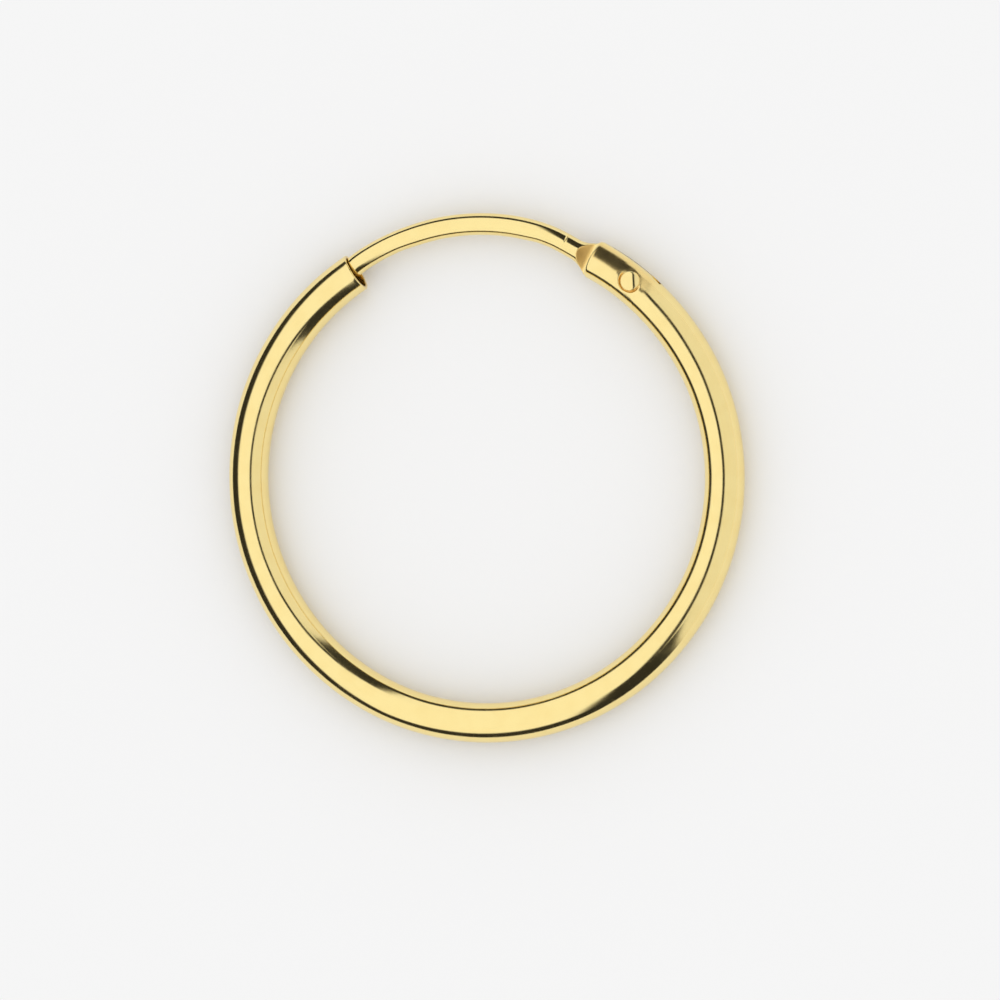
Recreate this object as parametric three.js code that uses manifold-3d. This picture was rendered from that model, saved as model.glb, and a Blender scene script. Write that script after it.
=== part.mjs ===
// Hinged hoop earring, 20 mm, in three pieces: a hollow tube bent to 300 degrees of a circle,
// a thinner ear wire that closes the hoop, and the rivet that the wire swings on.
//
// Frame (millimetres): the hoop lies on its side on the plane z = 0, its axis is Z, and the
// middle of the gap between the tube's two ends is on +Y. The hinge is on the +X side.
// Angles are measured about the hoop's axis from +X towards +Y.

import * as THREE from 'three';
import Module from 'manifold-3d';
import { mergeVertices } from 'three/addons/utils/BufferGeometryUtils.js';

// ---------------------------------------------------------------- driving dimensions
const HOOP_OD = 20.0;          // outer diameter of the closed hoop
const TUBE_OD = 1.5;           // diameter of the tube
const TUBE_WALL = 0.12;        // its wall
const WIRE_D = 0.8;            // diameter of the ear wire
const RIM_HINGE = 60;          // angle of the tube's end at the hinge
const RIM_MOUTH = 120;         // angle of the tube's open end
const HALF_HEIGHT = TUBE_OD / 2;   // height of the hoop's mid-plane above z = 0

const RC = (HOOP_OD - TUBE_OD) / 2;     // radius of the tube's centre line
const BORE_R = TUBE_OD / 2 - TUBE_WALL; // radius of the tube's bore

// hinge
const PIVOT = { angle: 48.8, radius: 9.33 };
const PIN_R = 0.22;            // rivet's pin
const PIN_HOLE_R = 0.27;       // hole in the tube's wall
const TANG_HOLE_R = 0.28;      // hole in the tang
const TANG_HALF = 0.18;        // half the thickness of the flattened end
const TANG_TAIL_R = 0.56;      // round end of the tang, about the pivot
const SLOT_HALF = 0.23;        // half the width of the saw slot
const SLOT_PAST_PIVOT = 0.85;  // slot's length beyond the pivot
const HEAD_R = 0.425;          // rivet's head
const HEAD_RISE = 0.13;        // dome's height over the tube
const HEAD_GAP = 0.05;         // head's underside to the nominal tube
const TAIL_R = 0.30;           // flush tail on the back
const SWING_CLEARANCE = 0.04;  // tip of the wire to the lip of the mouth as it swings out

// Sections of the ear wire, from the pivot round to the mouth. angle in degrees; centre =
// radius of the section's middle; inner and outer = its half widths towards and away from the
// hoop's axis; half = half the thickness left between the two flats.
const COLUMNS = ['angle', 'centre', 'inner', 'outer', 'half'];
const WIRE_ROWS = [
  [48.80, 9.330, 0.580, 0.600, 0.180],
  [52.50, 9.310, 0.560, 0.615, 0.180],
  [56.50, 9.270, 0.520, 0.645, 0.180],
  [59.85, 9.220, 0.470, 0.660, 0.180],
  [60.35, 9.200, 0.655, 0.655, 0.180],
  [60.90, 9.208, 0.605, 0.605, 0.180],
  [61.40, 9.214, 0.565, 0.565, 0.180],
  [62.00, 9.222, 0.510, 0.510, 0.235],
  [62.60, 9.230, 0.468, 0.468, 0.290],
  [63.20, 9.242, 0.436, 0.436, 0.345],
  [63.80, 9.256, 0.412, 0.412, 0.400],
  [64.60, 9.271, 0.400, 0.400, 0.400],
  [66.00, 9.302, 0.400, 0.400, 0.400],
  [68.00, 9.350, 0.400, 0.400, 0.400],
  [70.00, 9.400, 0.400, 0.400, 0.400],
  [72.00, 9.440, 0.400, 0.400, 0.400],
  [74.00, 9.471, 0.400, 0.400, 0.400],
  [76.00, 9.495, 0.400, 0.400, 0.400],
  [79.00, 9.524, 0.400, 0.400, 0.400],
  [82.00, 9.545, 0.400, 0.400, 0.400],
  [85.00, 9.559, 0.400, 0.400, 0.400],
  [88.00, 9.569, 0.400, 0.400, 0.400],
  [91.00, 9.576, 0.400, 0.400, 0.400],
  [94.00, 9.579, 0.400, 0.400, 0.400],
  [97.00, 9.577, 0.400, 0.400, 0.400],
  [100.0, 9.571, 0.400, 0.400, 0.400],
  [103.0, 9.562, 0.400, 0.400, 0.400],
  [106.0, 9.551, 0.400, 0.400, 0.400],
  [109.0, 9.539, 0.400, 0.400, 0.400],
  [112.0, 9.524, 0.400, 0.400, 0.400],
  [115.0, 9.505, 0.400, 0.400, 0.400],
  [117.5, 9.486, 0.400, 0.400, 0.400],
  [119.4, 9.461, 0.400, 0.400, 0.400],
  [121.5, 9.432, 0.400, 0.400, 0.400],
  [124.0, 9.408, 0.400, 0.400, 0.400],
].map((row) => Object.fromEntries(COLUMNS.map((name, i) => [name, row[i]])));

const TUBE_SIDES = 16;
const WIRE_SIDES = 20;
const TUBE_STEPS = 60;

// ---------------------------------------------------------------- helpers
const rad = THREE.MathUtils.degToRad;
const polar = (radius, deg, z = HALF_HEIGHT) =>
  new THREE.Vector3(radius * Math.cos(rad(deg)), radius * Math.sin(rad(deg)), z);
const pivot = polar(PIVOT.radius, PIVOT.angle);

// The arc that the tube follows, with an exact length and exact tangents.
class HoopArc extends THREE.Curve {
  constructor(radius, from, to) { super(); Object.assign(this, { radius, from, to }); }
  getPoint(t, target = new THREE.Vector3()) {
    return target.copy(polar(this.radius, this.from + (this.to - this.from) * t));
  }
  getTangent(t, target = new THREE.Vector3()) {
    const a = rad(this.from + (this.to - this.from) * t);
    const way = Math.sign(this.to - this.from);
    return target.set(-Math.sin(a) * way, Math.cos(a) * way, 0);
  }
  getUtoTmapping(u) { return u; }
}

// A regular polygon whose flats touch the circle of the given radius.
function flatsOn(radius, sides) {
  const out = [];
  for (let i = 0; i < sides; i++) {
    const a = ((i + 0.5) / sides) * Math.PI * 2;
    out.push(new THREE.Vector2(Math.cos(a), Math.sin(a)).multiplyScalar(radius / Math.cos(Math.PI / sides)));
  }
  return out;
}

function tubeAlong(radius, bore, sides, steps, from, to) {
  const shape = new THREE.Shape(flatsOn(radius, sides));
  if (bore) shape.holes.push(new THREE.Path(flatsOn(bore, sides)));
  return new THREE.ExtrudeGeometry(shape, { steps, bevelEnabled: false, extrudePath: new HoopArc(RC, from, to) });
}

// One closed skin through a list of rings of points.
function loft(rings, capStart, capEnd) {
  const n = rings[0].length;
  const points = [...rings.flat(), capStart, capEnd];
  const index = [];
  for (let r = 0; r + 1 < rings.length; r++) {
    for (let i = 0; i < n; i++) {
      const a = r * n + i, b = r * n + ((i + 1) % n);
      index.push(a, b + n, b, a, a + n, b + n);
    }
  }
  const s = rings.length * n, e = s + 1, last = (rings.length - 1) * n;
  for (let i = 0; i < n; i++) {
    index.push(s, i, (i + 1) % n);
    index.push(e, last + ((i + 1) % n), last + i);
  }
  const geometry = new THREE.BufferGeometry().setFromPoints(points);
  geometry.setIndex(index);
  return geometry;
}

const wasm = await Module();
wasm.setup();

function solid(geometry, matrix) {
  const g = geometry.clone();
  if (matrix) g.applyMatrix4(matrix);
  g.deleteAttribute('normal');
  g.deleteAttribute('uv');
  const m = mergeVertices(g, 1e-5);
  const m3 = new wasm.Manifold(new wasm.Mesh({
    numProp: 3,
    vertProperties: new Float32Array(m.attributes.position.array),
    triVerts: new Uint32Array(m.index.array),
  }));
  return m3;
}

function asGeometry(body) {
  const mesh = body.getMesh();
  const g = new THREE.BufferGeometry();
  g.setAttribute('position', new THREE.BufferAttribute(new Float32Array(mesh.vertProperties), 3));
  g.setIndex(new THREE.BufferAttribute(new Uint32Array(mesh.triVerts), 1));
  g.computeVertexNormals();
  return g;
}

// A lathe turned so that its axis is Z, centred on the pivot; profile points are [radius, z].
function turned(profile, segments) {
  const points = profile.map(([r, z]) => new THREE.Vector2(r, z));
  const stand = new THREE.Matrix4().makeRotationX(Math.PI / 2);
  const place = new THREE.Matrix4().makeTranslation(pivot.x, pivot.y, pivot.z);
  return solid(new THREE.LatheGeometry(points, segments), place.multiply(stand));
}

// ---------------------------------------------------------------- hoop tube
// Hollow all the way, open at the mouth. A saw slot on the outer side of the hinge end lets the
// tang swing out, and the rivet's holes go through the front and back walls.
function hoopTube() {
  let body = solid(tubeAlong(TUBE_OD / 2, BORE_R, TUBE_SIDES, TUBE_STEPS, RIM_MOUTH, RIM_HINGE + 360));

  const toRim = RC * rad(RIM_HINGE - PIVOT.angle) + 0.6;
  const slot = new THREE.BoxGeometry(1.4, toRim + SLOT_PAST_PIVOT, SLOT_HALF * 2);
  slot.translate(0.15 + 0.7, (toRim - SLOT_PAST_PIVOT) / 2, 0);      // x outwards, y towards the rim
  const aim = new THREE.Matrix4().makeTranslation(pivot.x, pivot.y, pivot.z)
    .multiply(new THREE.Matrix4().makeRotationZ(rad(PIVOT.angle)));
  body = body.subtract(solid(slot, aim));

  body = body.subtract(turned([[0, 0.3], [PIN_HOLE_R, 0.3], [PIN_HOLE_R, 1.2], [0, 1.2]], 20));
  body = body.subtract(turned([[0, -1.2], [0.5, -1.2], [TAIL_R + 0.06, -0.76], [PIN_HOLE_R, -0.6], [PIN_HOLE_R, -0.3], [0, -0.3]], 20));
  return asGeometry(body);
}

// ---------------------------------------------------------------- ear wire
// Round wire, flattened at the hinge end into a tang with the rivet's hole. Its free end is
// dressed to the arc that it swings through, so it leaves the mouth without touching the lip.
function ringAt(row) {
  const ring = [];
  for (let i = 0; i < WIRE_SIDES; i++) {
    const a = (i / WIRE_SIDES) * Math.PI * 2;
    const u = Math.cos(a) * (Math.cos(a) > 0 ? row.outer : row.inner);
    const h = THREE.MathUtils.clamp(Math.sin(a) * WIRE_D / 2, -row.half, row.half);
    ring.push(polar(row.centre + u, row.angle, HALF_HEIGHT + h));
  }
  return ring;
}

function rowAt(angle) {
  const i = WIRE_ROWS.findIndex((row, k) => k + 1 < WIRE_ROWS.length && angle <= WIRE_ROWS[k + 1].angle);
  const a = WIRE_ROWS[i], b = WIRE_ROWS[i + 1], f = (angle - a.angle) / (b.angle - a.angle);
  return Object.fromEntries(COLUMNS.map((name) => [name, a[name] + (b[name] - a[name]) * f]));
}

// How far from the pivot a point of the free end may be, at height h from the mid-plane.
function reach(h) {
  const lip = polar(RC + Math.sqrt(BORE_R ** 2 - h ** 2), RIM_MOUTH);
  return Math.hypot(lip.x - pivot.x, lip.y - pivot.y) - SWING_CLEARANCE;
}

// The point of a long line of the wire, u across and h up, that lies on that limit.
function tipPoint(u, h) {
  let low = 119.4, high = 124.0;
  for (let k = 0; k < 40; k++) {
    const mid = (low + high) / 2;
    const p = polar(rowAt(mid).centre + u, mid);
    if (Math.hypot(p.x - pivot.x, p.y - pivot.y) < reach(h)) low = mid; else high = mid;
  }
  return polar(rowAt(low).centre + u, low, HALF_HEIGHT + h);
}

function earWire() {
  const rings = [];
  const first = WIRE_ROWS[0];
  for (const deg of [72, 54, 34, 16]) {                       // round tail of the tang
    const x = TANG_TAIL_R * Math.sin(rad(deg));
    const shrink = Math.cos(rad(deg));
    rings.push(ringAt({ ...first, angle: first.angle - THREE.MathUtils.radToDeg(x / first.centre),
      inner: first.inner * shrink, outer: first.outer * shrink }));
  }
  for (const row of WIRE_ROWS) if (row.angle < 119.5) rings.push(ringAt(row));
  const tip = [];
  for (let i = 0; i < WIRE_SIDES; i++) {
    const a = (i / WIRE_SIDES) * Math.PI * 2;
    tip.push(tipPoint(Math.cos(a) * WIRE_D / 2, Math.sin(a) * WIRE_D / 2));
  }
  rings.push(tip);
  const tail = polar(first.centre, first.angle - THREE.MathUtils.radToDeg(TANG_TAIL_R / first.centre));
  let body = solid(loft(rings, tail, tipPoint(0, 0)));
  body = body.subtract(turned([[0, -0.6], [TANG_HOLE_R, -0.6], [TANG_HOLE_R, 0.6], [0, 0.6]], 20));
  return asGeometry(body);
}

// ---------------------------------------------------------------- rivet
// A pin through tube and tang. Its head is a low dome shaped onto the round tube, and its
// tail is spread flush into the countersink on the back.
function hingeRivet() {
  const top = TUBE_OD / 2 + HEAD_RISE;
  const dome = [];
  for (let i = 0; i <= 5; i++) {
    const a = (i / 5) * Math.PI / 2;
    dome.push([HEAD_R * Math.cos(a), top - 0.22 + 0.22 * Math.sin(a)]);
  }
  dome[5][0] = 0;
  const head = turned([[0, 0.3], [HEAD_R, 0.3], ...dome], 28)
    .subtract(solid(tubeAlong(TUBE_OD / 2 + HEAD_GAP, 0, 24, 20, 30, 62)));
  const crown = head.intersect(solid(new THREE.BoxGeometry(3, 3, 2), new THREE.Matrix4().makeTranslation(pivot.x, pivot.y, HALF_HEIGHT + 1.3)));
  const pin = turned([[0, -0.72], [TAIL_R, -0.72], [PIN_R, -0.60], [PIN_R, top - 0.1], [0, top - 0.1]], 28);
  return asGeometry(crown.add(pin));
}

// ---------------------------------------------------------------- scene graph
const GOLD = 0xe6bf62;
const group = new THREE.Group();
for (const [name, geometry, roughness] of [
  ['hoop_tube', hoopTube(), 0.08],
  ['ear_wire', earWire(), 0.1],
  ['hinge_rivet', hingeRivet(), 0.12],
]) {
  const mesh = new THREE.Mesh(geometry, new THREE.MeshStandardMaterial({ color: GOLD, roughness, metalness: 1 }));
  mesh.name = name;
  group.add(mesh);
}

export default group;
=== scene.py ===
"""Looks of the hinged hoop earring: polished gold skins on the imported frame, a pale table and a soft light tent."""

import math
import bpy
import numpy as np
from mathutils import Matrix, Vector


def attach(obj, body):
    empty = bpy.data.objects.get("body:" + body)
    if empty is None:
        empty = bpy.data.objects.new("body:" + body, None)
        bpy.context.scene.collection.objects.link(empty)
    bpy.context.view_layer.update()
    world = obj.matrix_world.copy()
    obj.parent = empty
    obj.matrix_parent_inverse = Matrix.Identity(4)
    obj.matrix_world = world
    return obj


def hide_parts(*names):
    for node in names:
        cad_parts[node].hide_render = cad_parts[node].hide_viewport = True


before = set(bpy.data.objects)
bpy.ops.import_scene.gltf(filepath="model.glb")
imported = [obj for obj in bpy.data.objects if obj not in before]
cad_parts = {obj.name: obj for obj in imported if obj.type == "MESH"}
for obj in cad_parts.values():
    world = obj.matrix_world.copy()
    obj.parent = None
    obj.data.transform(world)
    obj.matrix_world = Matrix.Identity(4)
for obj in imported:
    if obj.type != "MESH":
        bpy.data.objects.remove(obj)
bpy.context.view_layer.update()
MM = 0.001

# ------------------------------------------------------------------ named sizes, millimetres, as in the CAD
RC, TUBE_R, BORE_R, Z0 = 9.25, 0.75, 0.63, 0.75
RIM_MOUTH, RIM_HINGE = 120.0, 420.0
PIVOT_ANGLE, PIVOT_RADIUS = 48.8, 9.33
PIN_R, PIN_HOLE_R, TANG_HOLE_R = 0.22, 0.27, 0.28
TANG_HALF, TANG_TAIL_R = 0.18, 0.66
SLOT_HALF, SLOT_END = 0.20, 403.9
HEAD_FLAT, HEAD_R, HEAD_APEX, HEAD_CURVE = 0.325, 0.370, 1.605, (0.9, 6.0)
HEAD_SHIFT = (0.010, 0.055)         # the hammered head sits a little off its pin
CREASE_AT, CREASE, CREASE_WIDTH = 0.150, 0.032, 0.05
TAIL_R = 0.335
WIRE_R, SWING_CLEARANCE = 0.40, 0.04

_a = math.radians(PIVOT_ANGLE)
PIVOT = np.array([PIVOT_RADIUS * math.cos(_a), PIVOT_RADIUS * math.sin(_a)])
OUTWARD = np.array([math.cos(_a), math.sin(_a)])
ALONG = np.array([-math.sin(_a), math.cos(_a)])          # towards the hinge's open end
HEAD_AT = PIVOT + np.array(HEAD_SHIFT)


# ------------------------------------------------------------------ camera first
TILT, ROLL = math.radians(14.03), math.radians(2.82)
PX_PER_MM, DISTANCE = 26.50, 354.0
HOOP_PX = (484.78, 477.24)


def camera_axes():
    ct, st, cr, sr = math.cos(TILT), math.sin(TILT), math.cos(ROLL), math.sin(ROLL)
    right = Vector((cr * ct, -sr, -cr * st))
    up = Vector((sr * ct, cr, -sr * st))
    back = Vector((st, 0.0, ct))
    return right, up, back


RIGHT, UP, BACK = camera_axes()
cam_data = bpy.data.cameras.new("camera")
cam_data.sensor_width = 36.0
cam_data.lens = PX_PER_MM * 36.0 * DISTANCE / 1000.0
cam_data.clip_start, cam_data.clip_end = 0.01, 10.0
camera = bpy.data.objects.new("camera", cam_data)
bpy.context.scene.collection.objects.link(camera)
aim = Vector((0, 0, Z0)) + RIGHT * ((500 - HOOP_PX[0]) / PX_PER_MM) + UP * ((HOOP_PX[1] - 500) / PX_PER_MM)
turn = Matrix((RIGHT, UP, BACK)).transposed().to_4x4()
camera.matrix_world = Matrix.Translation((aim + BACK * DISTANCE) * MM) @ turn
bpy.context.scene.camera = camera


# ------------------------------------------------------------------ helpers
def make_object(name, verts, faces, material, smooth_angle=32.0, satin_and_shade=None):
    """A mesh object from millimetre points, shaded smooth with its real edges kept sharp.
    Its marks, from 0 to 1, are the points left unpolished, which the gold also tints a deeper orange as painted shade."""
    mesh = bpy.data.meshes.new(name)
    mesh.from_pydata((np.asarray(verts, float) * MM).tolist(), [], [tuple(int(i) for i in f) for f in faces])
    marks = np.zeros(len(verts)) if satin_and_shade is None else np.asarray(satin_and_shade, float)
    layer = mesh.attributes.new("satin_and_shade", "FLOAT", "POINT")
    layer.data.foreach_set("value", marks.astype(np.float32))
    mesh.validate()
    mesh.update()
    mesh.shade_smooth()
    mesh.set_sharp_from_angle(angle=math.radians(smooth_angle))
    mesh.materials.append(material)
    obj = bpy.data.objects.new(name, mesh)
    bpy.context.scene.collection.objects.link(obj)
    return obj


def smooth(x):
    x = np.clip(x, 0.0, 1.0)
    return x * x * (3 - 2 * x)


class Skin:
    """Vertices and faces being gathered for one closed mesh."""

    def __init__(self):
        self.v, self.f = [], []

    def add(self, points):
        start = len(self.v)
        self.v.extend(np.asarray(points, float).reshape(-1, 3).tolist())
        return np.arange(start, len(self.v))

    def strip(self, a, b, closed=False):
        """Quads between two equally long rows of vertex numbers."""
        n = len(a)
        for k in range(n if closed else n - 1):
            m = (k + 1) % n
            self.f.append((a[k], a[m], b[m], b[k]))


def block_loop(grid, i0, i1, j0, j1):
    """Vertex numbers round a block of a grid, once, in order."""
    loop = [grid[i, j0] for i in range(i0, i1)]
    loop += [grid[i1, j] for j in range(j0, j1)]
    loop += [grid[i, j1] for i in range(i1, i0, -1)]
    loop += [grid[i0, j] for j in range(j1, j0, -1)]
    return loop


def round_patch(skin, loop, radii, height, angles=None, blends=(0.25, 0.5, 0.75), flip=False):
    """Fills a block with rings round the pivot, from the block's edge in to the smallest circle.
    height(x, y) gives z. Returns the innermost ring and the angles used."""
    edge = np.array([skin.v[k] for k in loop])[:, :2]
    if angles is None:
        rel = edge - PIVOT
        angles = np.arctan2(rel[:, 1], rel[:, 0])
    unit = np.stack([np.cos(angles), np.sin(angles)], 1)
    big = PIVOT + unit * max(radii)
    rows = []
    for t in blends:
        rows.append(edge * (1 - t) + big * t)
    for r in sorted(radii, reverse=True):
        rows.append(PIVOT + unit * r)
    last = np.array(loop)
    for xy in rows:
        z = height(xy[:, 0], xy[:, 1])
        ring = skin.add(np.column_stack([xy, z]))
        if flip:
            skin.strip(ring, last, closed=True)
        else:
            skin.strip(last, ring, closed=True)
        last = ring
    return last, angles


# ------------------------------------------------------------------ hoop tube
def from_head(x, y):
    """Distance from the middle of the rivet's head, and how far round to its lower left."""
    dx, dy = x - HEAD_AT[0], y - HEAD_AT[1]
    d = np.hypot(dx, dy)
    return d, -(dx + dy) / np.maximum(d, 1e-6)


def dimple(x, y):
    """How far the tube's front is pressed in round the rivet's head, mostly on the side of the hinge's end."""
    dx, dy = x - PIVOT[0], y - PIVOT[1]
    d = np.hypot(dx, dy)
    along = (dx * ALONG[0] + dy * ALONG[1]) / np.maximum(d, 1e-6)
    d_head, low_left = from_head(x, y)
    groove = 0.062 * np.exp(-((d_head - 0.394) / 0.040) ** 2) * (0.02 + 0.98 * smooth((low_left + 0.8) / 1.5))
    outer = smooth((dx * OUTWARD[0] + dy * OUTWARD[1] + 0.48) / 0.22)
    return (0.056 * smooth((along + 0.35) / 0.9) - 0.022) * (1 - smooth((d - 0.33) / 0.36)) * outer + groove


OUT_OF_ROUND = ([121, 160, 180, 200, 215, 229, 241, 253, 270, 290, 307, 325, 340, 355, 367, 379, 385, 391, 397, 403, 409, 415, 420],
                [-14, -11, -13, -12, -3, 3, 15, 20, 21, 26, 27, 27, 31, 31, 26, 18, 6, -8, -13, -18, -12, -6, -5])
_fine = np.arange(100.0, 441.0, 0.5)
_bend = np.interp(_fine, *OUT_OF_ROUND) * 0.001
_kernel = np.exp(-(np.arange(-20, 21) / 8.0) ** 2)
_bend = np.convolve(np.pad(_bend, 20, mode="edge"), _kernel / _kernel.sum(), mode="valid")


def mean_radius(angle):
    """The bent tube is not a perfect circle: its mean radius by angle."""
    return RC + np.interp(angle, _fine, _bend)


def waver(angle, theta):
    """The faint unevenness of drawn and bent tube, in millimetres."""
    a, t = np.radians(angle), theta
    wave = (0.0016 * np.sin(5 * a + 1.3 + 0.6 * np.sin(t)) + 0.0011 * np.sin(13 * a + 2.1 * np.cos(t) + 0.4)
            + 0.0007 * np.sin(31 * a + 2 * t + 1.0) + 0.0009 * np.cos(2 * t + 3 * a))
    return wave * (1 - smooth((-np.sin(t) - 0.84) / 0.10))   # none where it rests on the table


def squeezed(angle, theta):
    """The slotted end was squeezed on to the wire's flat: its front is a little flatter there."""
    psi = (90 - np.degrees(theta) + 180) % 360 - 180
    swell = 0.030 * np.exp(-((psi - 28) / 30) ** 2) * smooth((angle - 400.0) / 6.5) * (1 - smooth((angle - 409.6) / 3.2))
    return swell - 0.030 * np.exp(-((psi - 33) / 24) ** 2) * smooth((angle - 410.6) / 3.0)


def tube_radius(angle, theta):
    return TUBE_R + waver(angle, theta) + squeezed(angle, theta)


def tube_height(rho, sign, x, y):
    ang = np.degrees(np.arctan2(y, x)) % 360
    ang = np.where(ang < 100, ang + 360, ang)
    u = np.hypot(x, y) - mean_radius(ang)
    r = rho + 0.0 * u
    if rho == TUBE_R:
        for _ in range(4):
            theta = sign * np.arccos(np.clip(u / r, -1, 1))
            r = tube_radius(ang, theta)
    z = Z0 + sign * np.sqrt(np.maximum(r * r - u * u, 0.0))
    return z - (dimple(x, y) if sign > 0 else 0.0)


def build_tube(material):
    # columns along the tube
    cols = list(np.arange(RIM_MOUTH + 1.0, 402.0, 1.0)) + [402.6, 403.3, SLOT_END, 404.4]
    first_col = len(cols)
    cols += list(np.linspace(404.9, 412.7, 21))
    last_col = len(cols) - 1
    cols += list(np.linspace(413.3, 419.2, 9))
    cols = np.array(cols)
    slot_col = int(np.argmin(abs(cols - SLOT_END)))

    # rows round the tube; the slot's edges and the rivet's blocks fall on rows
    def rows_for(rho):
        s = math.degrees(math.asin(SLOT_HALF / rho))
        marks = [(-s, s, 8), (s, 34, 4), (34, 146, 28), (146, 214, 16), (214, 326, 28), (326, 360 - s, 4)]
        return np.radians(np.concatenate([np.linspace(a, b, n, endpoint=False) for a, b, n in marks]))

    theta_out, theta_in = rows_for(TUBE_R), rows_for(BORE_R)
    n = len(theta_out)
    front = (12, 40)
    back = (56, 84)
    slot_rows = range(0, 8)

    def points(angle, theta, rho, wavy):
        angle = np.broadcast_to(angle, theta.shape)
        r = rho + (waver(angle, theta) + squeezed(angle, theta) if wavy else 0.0)
        rad_ = mean_radius(angle) + r * np.cos(theta)
        a = np.radians(angle)
        x, y = rad_ * np.cos(a), rad_ * np.sin(a)
        z = Z0 + r * np.sin(theta)
        press = dimple(x, y) * smooth((np.sin(theta) - 0.25) / 0.45)
        return np.stack([x, y, z - press], -1)

    skin = Skin()
    outer = np.array([skin.add(points(a, theta_out, TUBE_R, True)) for a in cols])
    inner = np.array([skin.add(points(a, theta_in, BORE_R, False)) for a in cols])

    # rims: (distance in from the end, part of the way from outer to bore)
    def rim(angle_end, sign, out_round, in_round):
        rows = []
        for k in range(1, 6):
            q = math.radians(90 * k / 5)
            rows.append((out_round[0] * (1 - math.sin(q)), out_round[1] * (1 - math.cos(q))))
        for k in range(1, 5):
            q = math.radians(90 * k / 4)
            rows.append((in_round * (1 - math.cos(q)), 1 - in_round / 0.12 * (1 - math.sin(q))))
        start = (out_round[0], 0.0)
        out = []
        for e, f in [start] + rows:
            rho = TUBE_R + (BORE_R - TUBE_R) * f
            theta = theta_out + (theta_in - theta_out + 0.0) * f
            ang = angle_end - sign * math.degrees(e / RC)
            out.append(skin.add(points(ang, theta, rho, True)))
        return np.array(out)

    rim_hinge = rim(RIM_HINGE, 1, (0.10, 0.62), 0.03)
    rim_mouth = rim(RIM_MOUTH, -1, (0.035, 0.30), 0.025)

    def quad_rows(a, b, skip=()):
        for j in range(n):
            if j in skip:
                continue
            m = (j + 1) % n
            skin.f.append((a[j], a[m], b[m], b[j]))

    blocks = set()
    for i in range(first_col, last_col):
        for lo, hi in (front, back):
            for j in range(lo, hi):
                blocks.add((i, j))
    for i in range(len(cols) - 1):
        skip = {j for (k, j) in blocks if k == i}
        if i >= slot_col:
            skip |= set(slot_rows)
        quad_rows(outer[i + 1], outer[i], skip)
        quad_rows(inner[i], inner[i + 1], skip)
    # hinge rim, open across the slot
    chain = [outer[-1], *rim_hinge, inner[-1]]
    for a, b in zip(chain[:-1], chain[1:]):
        quad_rows(b, a, set(slot_rows))
    chain_m = [outer[0], *rim_mouth, inner[0]]
    for a, b in zip(chain_m[:-1], chain_m[1:]):
        quad_rows(a, b)

    # slot: two side walls and the end wall
    for j, flip in ((0, False), (8, True)):
        for i in range(slot_col, len(cols) - 1):
            q = (outer[i][j], outer[i + 1][j], inner[i + 1][j], inner[i][j])
            skin.f.append(q[::-1] if flip else q)
        cap = [c[j] for c in chain]
        skin.f.append(tuple(cap[::-1] if flip else cap))
    for j in slot_rows:
        m = j + 1
        skin.f.append((outer[slot_col][j], inner[slot_col][j], inner[slot_col][m], outer[slot_col][m]))

    # rivet holes, front and back
    def hole(rows, sign, r_out, r_in, outer_radii, inner_radii):
        j0, j1 = rows
        lo = block_loop(outer, first_col, last_col, j0, j1)
        li = block_loop(inner, first_col, last_col, j0, j1)
        ro, angles = round_patch(skin, lo, [r_out] + outer_radii, lambda x, y: tube_height(TUBE_R, sign, x, y), flip=True)
        ri, _ = round_patch(skin, li, [r_in] + inner_radii, lambda x, y: tube_height(BORE_R, sign, x, y), angles=angles, flip=False)
        skin.strip(ri, ro, closed=True)

    hole(front, 1, PIN_HOLE_R, PIN_HOLE_R, [0.30, 0.325, 0.345, 0.36, 0.375, 0.39, 0.405, 0.42, 0.435, 0.45, 0.465, 0.48, 0.50, 0.53], [0.30, 0.34])
    hole(back, -1, TAIL_R + 0.012, PIN_HOLE_R, [0.36, 0.40, 0.46], [0.30, 0.34])
    pts = np.array(skin.v)
    ang = np.degrees(np.arctan2(pts[:, 1], pts[:, 0])) % 360
    ang = np.where(ang < 100, ang + 360, ang)
    depth = np.hypot(np.hypot(pts[:, 0], pts[:, 1]) - mean_radius(ang), pts[:, 2] - Z0)
    psi = np.degrees(np.arctan2(np.hypot(pts[:, 0], pts[:, 1]) - mean_radius(ang), pts[:, 2] - Z0))
    # Hinge end, outer front only: rougher, and painted shade there, tinted a deeper orange.
    hinge_end_satin_shade = 0.36 * smooth((ang - 403.0) / 3.0) * smooth((psi - 4) / 9) * (1 - smooth((psi - 60) / 10))
    # Groove round the rivet's head, lower left side only: rougher, and painted shade there, tinted a deeper
    # orange-brown.
    d_head, low_left = from_head(pts[:, 0], pts[:, 1])
    ring = np.exp(-((d_head - 0.388) / 0.052) ** 4) * (pts[:, 2] > 1.0) * smooth((low_left + 0.9) / 1.0)
    # Inside the bore: half rougher, and half tinted toward the deeper orange as painted shade in the recess. The saw
    # slot gets neither.
    bore = 0.5 - 0.5 * smooth((depth - 0.645) / 0.03)
    bore = bore * (1 - (ang > 403.3) * (np.abs(pts[:, 2] - Z0) < 0.24) * (psi > 0))      # the saw slot is clean
    return make_object("hoop_tube_skin", skin.v, skin.f, material, satin_and_shade=np.maximum(np.maximum(bore, ring), hinge_end_satin_shade))


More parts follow.
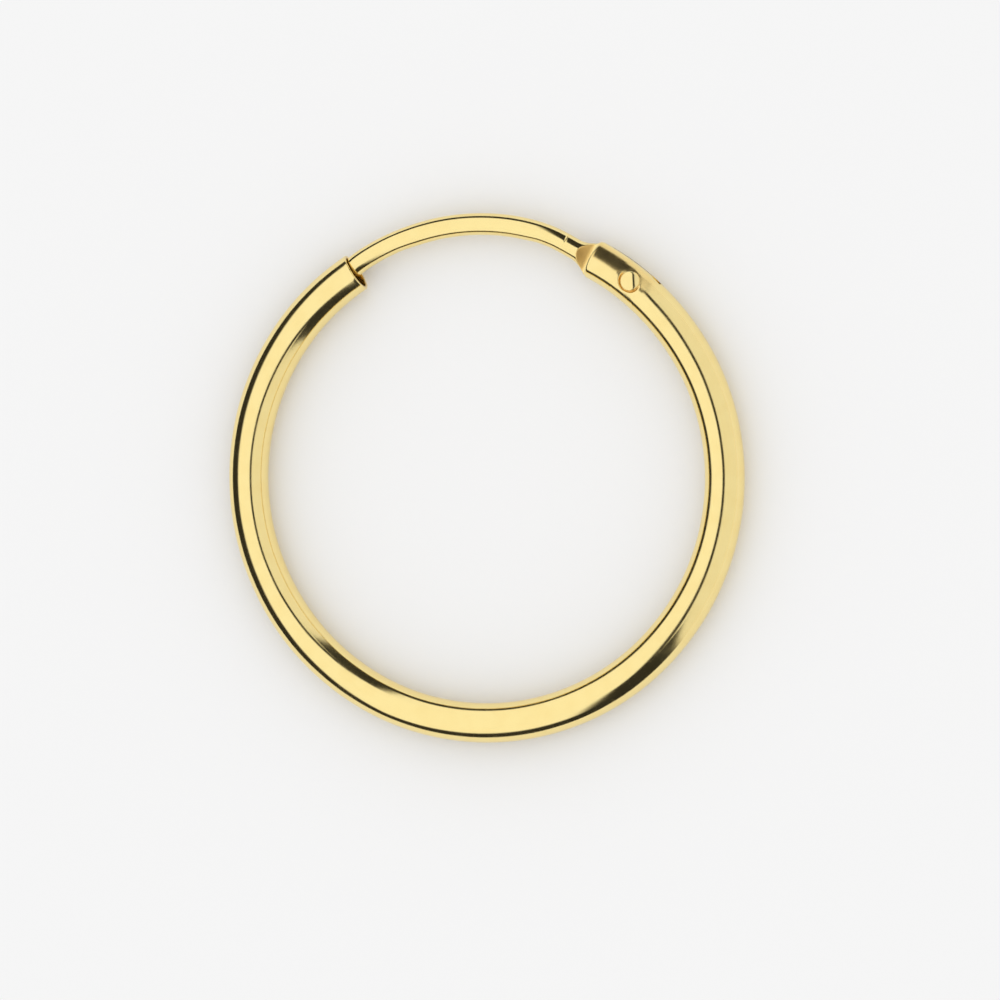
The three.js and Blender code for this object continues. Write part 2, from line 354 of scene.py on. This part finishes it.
# ------------------------------------------------------------------ ear wire
COLUMNS = ("angle", "centre", "inner", "outer")
WIRE_ROWS = [
    (48.80, 9.330, 0.580, 0.640), (52.50, 9.310, 0.560, 0.660), (56.50, 9.270, 0.520, 0.705),
    (59.85, 9.220, 0.470, 0.745), (60.35, 9.200, 0.655, 0.690), (60.90, 9.208, 0.605, 0.605),
    (61.40, 9.214, 0.565, 0.565), (62.00, 9.222, 0.510, 0.510), (62.60, 9.230, 0.468, 0.468),
    (63.20, 9.242, 0.436, 0.436), (63.80, 9.256, 0.412, 0.412), (64.60, 9.271, 0.400, 0.400),
    (66.00, 9.302, 0.400, 0.400), (68.00, 9.350, 0.400, 0.400), (70.00, 9.400, 0.400, 0.400),
    (72.00, 9.440, 0.400, 0.400), (74.00, 9.471, 0.400, 0.400), (76.00, 9.495, 0.418, 0.400),
    (79.00, 9.524, 0.430, 0.400), (82.00, 9.545, 0.430, 0.400), (85.00, 9.559, 0.430, 0.400),
    (88.00, 9.569, 0.430, 0.400), (91.00, 9.576, 0.430, 0.400), (94.00, 9.579, 0.430, 0.400),
    (97.00, 9.577, 0.430, 0.400), (100.0, 9.571, 0.430, 0.400), (103.0, 9.562, 0.430, 0.400),
    (106.0, 9.551, 0.415, 0.400), (109.0, 9.539, 0.400, 0.400), (112.0, 9.524, 0.400, 0.400),
    (115.0, 9.505, 0.400, 0.400), (117.5, 9.486, 0.400, 0.400), (119.4, 9.461, 0.400, 0.400),
    (121.5, 9.432, 0.400, 0.400), (124.0, 9.408, 0.400, 0.400),
]
RAMP_LOW, RAMP_HIGH = 61.15, 63.85


def eased(xs, ys, x):
    """Monotone cubic interpolation through a table's column."""
    xs, ys = np.asarray(xs, float), np.asarray(ys, float)
    h, d = np.diff(xs), np.diff(ys) / np.diff(xs)
    m = np.zeros(len(xs))
    for k in range(1, len(xs) - 1):
        if d[k - 1] * d[k] > 0:
            w1, w2 = 2 * h[k] + h[k - 1], h[k] + 2 * h[k - 1]
            m[k] = (w1 + w2) / (w1 / d[k - 1] + w2 / d[k])
    m[0], m[-1] = d[0], d[-1]
    k = np.clip(np.searchsorted(xs, x) - 1, 0, len(xs) - 2)
    t = (x - xs[k]) / h[k]
    return ((1 + 2 * t) * (1 - t) ** 2 * ys[k] + t * (1 - t) ** 2 * h[k] * m[k]
            + t * t * (3 - 2 * t) * ys[k + 1] + t * t * (t - 1) * h[k] * m[k + 1])


def wire_row(angle):
    xs = [r[0] for r in WIRE_ROWS]
    return {c: float(eased(xs, [r[i] for r in WIRE_ROWS], angle)) for i, c in enumerate(COLUMNS) if i}


def flat_half(angle):
    f = min(max((angle - RAMP_LOW) / (RAMP_HIGH - RAMP_LOW), 0.0), 1.2)
    return TANG_HALF + (0.415 - TANG_HALF) * f ** 1.7


def soft_limit(h, limit, blend=0.016):
    """h held inside +-limit, with the corner eased over the blend."""
    s, a = np.sign(h), np.abs(h)
    k = np.clip((a - limit + blend) / (2 * blend), 0, 1)
    return s * np.minimum(a * (1 - k) + limit * k - blend * k * (1 - k) * 0.5, a)


def reach(h):
    lip = RC + np.sqrt(BORE_R ** 2 - np.asarray(h) ** 2)
    m = math.radians(RIM_MOUTH)
    return np.hypot(lip * math.cos(m) - PIVOT[0], lip * math.sin(m) - PIVOT[1]) - SWING_CLEARANCE


def round_heel(obj, clear=0.665, ease=0.03):
    """The tang's heel, inside the tube, is rounded so that it turns clear of the bore's inner wall."""
    pivot = np.array(PIVOT, float)
    out = pivot / np.hypot(*pivot)
    along = np.array([-out[1], out[0]])
    for vert in obj.data.vertices:
        d = np.array(vert.co[:2]) / MM - pivot
        r = float(np.hypot(*d))
        start = clear - ease + 0.4 * float(smooth(float(d @ out) / 0.3))
        if d @ along < 0 and start < r < 1.2:
            x, y = (pivot + d * ((start + ease * (1 - math.exp(-(r - start) / ease))) / r)) * MM
            vert.co[0], vert.co[1] = x, y


def build_wire(material):
    n = 80
    alpha = np.arange(n) / n * 2 * np.pi
    cos_a, sin_a = np.cos(alpha), np.sin(alpha)
    skin = Skin()

    def ring(angle, row, scale=1.0, half=None):
        half = flat_half(angle) if half is None else half
        flush = 1 - float(smooth((angle - 59.9) / 0.6))        # inside the slot the edge is filed square
        lobe = np.abs(cos_a) ** (1 - 0.68 * flush * (cos_a > 0)) * np.sign(cos_a)
        u = np.where(cos_a > 0, row["outer"], row["inner"]) * lobe * scale
        h = soft_limit(WIRE_R * sin_a, half)
        # a small nick filed across the outer side of the wire
        nick = 0.037 * math.exp(-((angle - 67.27) * RC * math.pi / 180 / 0.030) ** 2)
        cut = nick * np.exp(-((alpha - math.radians(46)) / 0.36) ** 2)
        u, h = u - cut * cos_a, h - cut * sin_a
        rr, a = row["centre"] + u, math.radians(angle)
        return np.column_stack([rr * math.cos(a), rr * math.sin(a), Z0 + h])

    first = wire_row(PIVOT_ANGLE)
    rings = []
    for deg in (88, 80, 70, 57, 46, 36, 27, 20):
        x, shrink = TANG_TAIL_R * math.sqrt(math.sin(math.radians(deg))), math.sqrt(math.cos(math.radians(deg)))
        rings.append(ring(PIVOT_ANGLE - math.degrees(x / PIVOT_RADIUS), first, shrink, TANG_HALF))
    start = len(rings)
    block_angles = np.linspace(PIVOT_ANGLE - 2.0, PIVOT_ANGLE + 2.6, 17)
    for a in block_angles:
        if a < PIVOT_ANGLE:
            x = (PIVOT_ANGLE - a) * math.pi / 180 * PIVOT_RADIUS
            rings.append(ring(a, first, (1 - (x / TANG_TAIL_R) ** 4) ** 0.25, TANG_HALF))
        else:
            rings.append(ring(a, wire_row(a)))
    stop = len(rings) - 1
    angles = np.concatenate([
        np.linspace(51.8, 59.6, 14), np.arange(59.8, 60.42, 0.06), np.arange(60.5, 64.8, 0.09),
        np.arange(64.9, 67.0, 0.25), np.arange(67.0, 67.55, 0.03), np.arange(67.7, 119.2, 0.55)])
    for a in angles:
        rings.append(ring(a, wire_row(a)))
    grid = np.array([skin.add(r) for r in rings])

    def tip(scale, back):
        pts = []
        for c, s in zip(cos_a, sin_a):
            u, h = WIRE_R * c * scale, WIRE_R * s * scale
            lo, hi = 119.2, 124.0
            limit = float(reach(h)) - back
            for _ in range(36):
                mid = (lo + hi) / 2
                rr = wire_row(mid)["centre"] + u
                a = math.radians(mid)
                if math.hypot(rr * math.cos(a) - PIVOT[0], rr * math.sin(a) - PIVOT[1]) < limit:
                    lo = mid
                else:
                    hi = mid
            a, rr = math.radians(lo), wire_row(lo)["centre"] + u
            pts.append((rr * math.cos(a), rr * math.sin(a), Z0 + h))
        return skin.add(pts)

    j0, j1 = 8, 32      # 36 to 144 degrees: the flat top; its mirror is the flat underside
    k0, k1 = 48, 72
    for i in range(len(rings) - 1):
        for j in range(n):
            if start <= i < stop and (j0 <= j < j1 or k0 <= j < k1):
                continue
            m = (j + 1) % n
            skin.f.append((grid[i][j], grid[i + 1][j], grid[i + 1][m], grid[i][m])[::-1])
    last = grid[-1]
    for scale, back in ((1.0, 0.05), (0.985, 0.02), (0.95, 0.005), (0.88, 0.0), (0.6, 0.0), (0.3, 0.0), (0.05, 0.0)):
        nxt = tip(scale, back)
        skin.strip(last, nxt, closed=True)
        last = nxt
    skin.f.append(tuple(last))
    skin.f.append(tuple(grid[0][::-1]))
    # the rivet's hole through the tang
    top = block_loop(grid, start, stop, j0, j1)
    low = block_loop(grid, start, stop, k0, k1)
    rt, ang = round_patch(skin, top, [TANG_HOLE_R, 0.32], lambda x, y: Z0 + TANG_HALF + 0 * x, blends=(0.5,), flip=True)
    edge = np.array([skin.v[k] for k in low])[:, :2] - PIVOT
    # start the underside's loop at the matching corner so that both rings line up
    ang_low = np.arctan2(edge[:, 1], edge[:, 0])
    shift = int(np.argmin(np.abs(np.angle(np.exp(1j * (ang_low - ang[0]))))))
    order = [low[(shift - k) % len(low)] for k in range(len(low))]
    rb, _ = round_patch(skin, order, [TANG_HOLE_R, 0.32], lambda x, y: Z0 - TANG_HALF + 0 * x, angles=ang, blends=(0.5,), flip=False)
    skin.strip(rb, rt, closed=True)
    pts = np.array(skin.v)
    ang = np.degrees(np.arctan2(pts[:, 1], pts[:, 0])) % 360
    lim = np.array([flat_half(a) for a in ang])
    # The tang's ramp facets: rougher, and painted shade there, tinted a deeper orange-brown.
    flat = smooth((np.abs(pts[:, 2] - Z0) - lim + 0.03) / 0.02) * smooth((64.0 - ang) / 0.3) * smooth((ang - 60.6) / 0.5)
    return make_object("ear_wire_skin", skin.v, skin.f, material, 36.0, satin_and_shade=flat)


# ------------------------------------------------------------------ rivet
def build_rivet(material):
    n = 96
    az = np.arange(n) / n * 2 * np.pi
    unit = np.stack([np.cos(az), np.sin(az)], 1)
    skin = Skin()

    def dome(r):
        off = unit * r
        crease = CREASE * CREASE_WIDTH * np.log(np.cosh((off[:, 0] - CREASE_AT) / CREASE_WIDTH))
        z = HEAD_APEX - off[:, 0] ** 2 / (2 * HEAD_CURVE[0]) - off[:, 1] ** 2 / (2 * HEAD_CURVE[1]) - crease
        return np.column_stack([HEAD_AT + off, z])

    rows = [dome(HEAD_FLAT * k / 22) for k in range(1, 23)]
    edge = dome(HEAD_FLAT)[:, 2]
    for k in range(1, 6):                                   # rounded edge of the head
        q = math.radians(90 * k / 5)
        r = HEAD_FLAT + (HEAD_R - HEAD_FLAT) * math.sin(q)
        xy = HEAD_AT + unit * r
        rows.append(np.column_stack([xy, edge - 0.050 * (1 - math.cos(q)) - 0.006 * math.sin(q)]))

    def under(r, gap, middle=PIVOT):
        xy = middle + unit * r
        return np.column_stack([xy, tube_height(TUBE_R, 1, xy[:, 0], xy[:, 1]) + gap])

    rows += [under(HEAD_R, 0.012, HEAD_AT), under(0.30, 0.012), under(0.26, 0.012), under(PIN_R, 0.012)]
    for z in (1.2, 0.75, 0.3):
        rows.append(np.column_stack([PIVOT + unit * PIN_R, np.full(n, z)]))
    xy = PIVOT + unit * PIN_R
    rows.append(np.column_stack([xy, tube_height(BORE_R, -1, xy[:, 0], xy[:, 1]) + 0.02]))
    for r, lift in ((TAIL_R, 0.012), (TAIL_R - 0.012, 0.003), (0.28, 0.0), (0.2, -0.0), (0.1, -0.0), (0.02, 0.0)):
        xy = PIVOT + unit * r
        rows.append(np.column_stack([xy, tube_height(TUBE_R, -1, xy[:, 0], xy[:, 1]) + 0.004 + lift]))
    ids = [skin.add(r) for r in rows]
    for a, b in zip(ids[:-1], ids[1:]):
        skin.strip(b, a, closed=True)
    skin.f.append(tuple(ids[0]))
    skin.f.append(tuple(ids[-1][::-1]))
    pts = np.array(skin.v)
    r, low_left = from_head(pts[:, 0], pts[:, 1])
    # The head's rounded edge, lower left side only: rougher, and painted shade there, tinted a deeper orange on the
    # side away from the light.
    dull_and_shaded_edge = smooth((r - HEAD_FLAT - 0.008) / 0.02) * (pts[:, 2] > 0.9) * smooth((low_left + 0.8) / 1.2)
    return make_object("hinge_rivet_skin", skin.v, skin.f, material, 40.0, satin_and_shade=dull_and_shaded_edge)


# ------------------------------------------------------------------ gold
def gold(name, seed, base=(0.96, 0.78, 0.345), rough=0.11, satin_rough=0.30):
    """Polished yellow gold: fine polishing lines, hairline scratches and faint smudges in roughness and bump. Marked
    points are rougher and tinted a deeper orange, a painted shade standing in for light bounced between gold faces.
    """
    mat = bpy.data.materials.new(name)
    mat.use_nodes = True
    nt = mat.node_tree
    nt.nodes.clear()
    new = nt.nodes.new
    out = new("ShaderNodeOutputMaterial")
    bsdf = new("ShaderNodeBsdfPrincipled")
    nt.links.new(bsdf.outputs[0], out.inputs[0])
    bsdf.inputs["Metallic"].default_value = 1.0
    geo = new("ShaderNodeTexCoord")

    def noise(scale, detail, stretch=(1, 1, 1), offset=0.0, rough_=0.5):
        m = new("ShaderNodeMapping")
        m.inputs["Scale"].default_value = [s * 1000 for s in stretch]
        m.inputs["Location"].default_value = (seed * 3.1 + offset, seed * 1.7, seed * 0.9)
        nt.links.new(geo.outputs["Object"], m.inputs["Vector"])
        t = new("ShaderNodeTexNoise")
        t.inputs["Scale"].default_value = scale
        t.inputs["Detail"].default_value = detail
        t.inputs["Roughness"].default_value = rough_
        nt.links.new(m.outputs[0], t.inputs["Vector"])
        return t.outputs["Fac"]

    def ramp(value, lo, hi, a, b):
        r = new("ShaderNodeMapRange")
        r.inputs["From Min"].default_value, r.inputs["From Max"].default_value = lo, hi
        r.inputs["To Min"].default_value, r.inputs["To Max"].default_value = a, b
        nt.links.new(value, r.inputs["Value"])
        return r.outputs[0]

    def math_(op, a, b):
        m = new("ShaderNodeMath")
        m.operation = op
        for k, v in ((0, a), (1, b)):
            if isinstance(v, (int, float)):
                m.inputs[k].default_value = v
            else:
                nt.links.new(v, m.inputs[k])
        return m.outputs[0]

    smudge = noise(0.9, 3.0, offset=4.0)
    grain = noise(7.0, 4.0, offset=9.0)
    r1 = ramp(smudge, 0.35, 0.75, rough * 0.85, rough * 1.35)
    r2 = math_("ADD", r1, ramp(grain, 0.45, 0.8, 0.0, 0.03))
    mark = new("ShaderNodeAttribute")
    mark.attribute_name = "satin_and_shade"
    r3 = math_("ADD", r2, math_("MULTIPLY", mark.outputs["Fac"], satin_rough))
    nt.links.new(r3, bsdf.inputs["Roughness"])
    # colour: the alloy is even, with a very slightly redder cast where the polish is thin
    tint = new("ShaderNodeMix")
    tint.data_type = "RGBA"
    tint.inputs["A"].default_value = (*base, 1)
    tint.inputs["B"].default_value = (base[0] * 0.985, base[1] * 0.965, base[2] * 0.93, 1)
    nt.links.new(ramp(noise(1.6, 2.0, offset=2.0), 0.4, 0.7, 0.0, 1.0), tint.inputs["Factor"])
    # painted shade: marked points turn toward a deeper orange, the colour of light bounced between gold faces, in place
    # of real shade
    painted_shade_mix = new("ShaderNodeMix")
    painted_shade_mix.data_type = "RGBA"
    painted_shade_mix.inputs["B"].default_value = (0.94, 0.63, 0.21, 1)
    nt.links.new(tint.outputs["Result"], painted_shade_mix.inputs["A"])
    nt.links.new(mark.outputs["Fac"], painted_shade_mix.inputs["Factor"])
    nt.links.new(painted_shade_mix.outputs["Result"], bsdf.inputs["Base Color"])
    bump = new("ShaderNodeBump")
    bump.inputs["Strength"].default_value = 0.16
    bump.inputs["Distance"].default_value = 0.000004
    lines = noise(26.0, 3.0, stretch=(1, 1, 1), offset=1.0, rough_=0.6)
    fine = math_("ADD", math_("MULTIPLY", lines, 0.6), math_("MULTIPLY", grain, 0.7))
    nt.links.new(math_("MULTIPLY", fine, math_("ADD", math_("MULTIPLY", mark.outputs["Fac"], 5.0), 1.0)), bump.inputs["Height"])
    nt.links.new(bump.outputs[0], bsdf.inputs["Normal"])
    return mat


tube_gold = gold("tube_gold", 1.0)
wire_gold = gold("wire_gold", 2.3)
rivet_gold = gold("rivet_gold", 4.1)

tube = build_tube(tube_gold)
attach(tube, "hoop"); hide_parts("hoop_tube")
wire = build_wire(wire_gold)
round_heel(wire)
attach(wire, "wire"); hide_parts("ear_wire")
rivet = build_rivet(rivet_gold)
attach(rivet, "hoop"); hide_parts("hinge_rivet")
for node, mat in (("hoop_tube", tube_gold), ("ear_wire", wire_gold), ("hinge_rivet", rivet_gold)):
    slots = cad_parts[node].material_slots
    if len(slots):
        slots[0].material = mat


# ------------------------------------------------------------------ table and light
# A plain light tent stands round the hoop: an evenly lit white panel on each side and a slot between them that the
# camera looks through. The left panel hangs a little above the table. Camera and metal see the same plain table.
XL, XR, YF, YB, ZT = -25.0, 46.0, -34.0, 40.0, 52.0
LEFT_LEVEL, RIGHT_LEVEL, OPEN_LEVEL = 1.04, 0.88, 0.03
SLOT = (8.7, 20.6)                  # the camera's slot in the roof
ENDS = (6.0, 29.0)                  # the openings in the front and the back
HEM = 14.0                          # the left panel's lower edge


def edge(x, soft=4.5):
    """0 below zero, 1 above, eased over the width given."""
    return smooth(x / soft + 0.5)


def tent(opening):
    def level(x, y, z):
        left = edge(opening[0] - x) * edge(z - HEM)
        right = edge(x - opening[1])
        return OPEN_LEVEL + (LEFT_LEVEL - OPEN_LEVEL) * left + (RIGHT_LEVEL - OPEN_LEVEL) * right
    return level


def panel_material():
    mat = bpy.data.materials.new("panel_light")
    mat.use_nodes = True
    nt = mat.node_tree
    nt.nodes.clear()
    out = nt.nodes.new("ShaderNodeOutputMaterial")
    em = nt.nodes.new("ShaderNodeEmission")
    attr = nt.nodes.new("ShaderNodeAttribute")
    attr.attribute_name = "glow"
    nt.links.new(attr.outputs["Color"], em.inputs["Color"])
    nt.links.new(em.outputs[0], out.inputs[0])
    return mat


def sheet(name, origin, u, v, nu, nv, level, material):
    """A flat sheet of the tent, white light only, seen in reflections."""
    a, b = np.meshgrid(np.linspace(0, 1, nu + 1), np.linspace(0, 1, nv + 1), indexing="ij")
    pts = np.array(origin, float) + a[..., None] * np.array(u, float) + b[..., None] * np.array(v, float)
    idx = np.arange((nu + 1) * (nv + 1)).reshape(nu + 1, nv + 1)
    faces = np.stack([idx[:-1, :-1], idx[1:, :-1], idx[1:, 1:], idx[:-1, 1:]], -1).reshape(-1, 4)
    mesh = bpy.data.meshes.new(name)
    mesh.from_pydata((pts.reshape(-1, 3) * MM).tolist(), [], faces.tolist())
    glow = level(pts[..., 0], pts[..., 1], pts[..., 2]).reshape(-1)
    layer = mesh.attributes.new("glow", "FLOAT_COLOR", "POINT")
    layer.data.foreach_set("color", np.column_stack([glow, glow, glow, np.ones(len(glow))]).astype(np.float32).reshape(-1))
    mesh.materials.append(material)
    obj = bpy.data.objects.new(name, mesh)
    bpy.context.scene.collection.objects.link(obj)
    obj.visible_camera = obj.visible_diffuse = obj.visible_shadow = False


def light_tent():
    mat = panel_material()
    w, d = XR - XL, YB - YF
    sheet("tent_roof", (XL, YF, ZT), (w, 0, 0), (0, d, 0), 90, 4, tent(SLOT), mat)
    sheet("tent_left", (XL, YF, 0), (0, d, 0), (0, 0, ZT), 4, 70, tent(ENDS), mat)
    sheet("tent_right", (XR, YF, 0), (0, d, 0), (0, 0, ZT), 4, 4, tent(ENDS), mat)
    sheet("tent_front", (XL, YF, 0), (w, 0, 0), (0, 0, ZT), 90, 70, tent(ENDS), mat)
    sheet("tent_back", (XL, YB, 0), (w, 0, 0), (0, 0, ZT), 90, 70, tent(ENDS), mat)


def table():
    """A plain pale table."""
    mat = bpy.data.materials.new("table_white")
    mat.use_nodes = True
    bsdf = mat.node_tree.nodes["Principled BSDF"]
    bsdf.inputs["Base Color"].default_value = (0.92, 0.92, 0.92, 1)
    bsdf.inputs["Roughness"].default_value = 0.9
    bsdf.inputs["Specular IOR Level"].default_value = 0.0
    mesh = bpy.data.meshes.new("table")
    s = 3.0
    mesh.from_pydata([(-s, -s, 0), (s, -s, 0), (s, s, 0), (-s, s, 0)], [], [(0, 1, 2, 3)])
    mesh.materials.append(mat)
    obj = bpy.data.objects.new("table", mesh)
    bpy.context.scene.collection.objects.link(obj)


table()
light_tent()
world = bpy.data.worlds.new("studio")
bpy.context.scene.world = world
world.use_nodes = True
bg = world.node_tree.nodes["Background"]
bg.inputs["Color"].default_value = (1, 1, 1, 1)
bg.inputs["Strength"].default_value = 1.0

scene = bpy.context.scene
scene.view_settings.view_transform = "Standard"
scene.view_settings.look = "None"
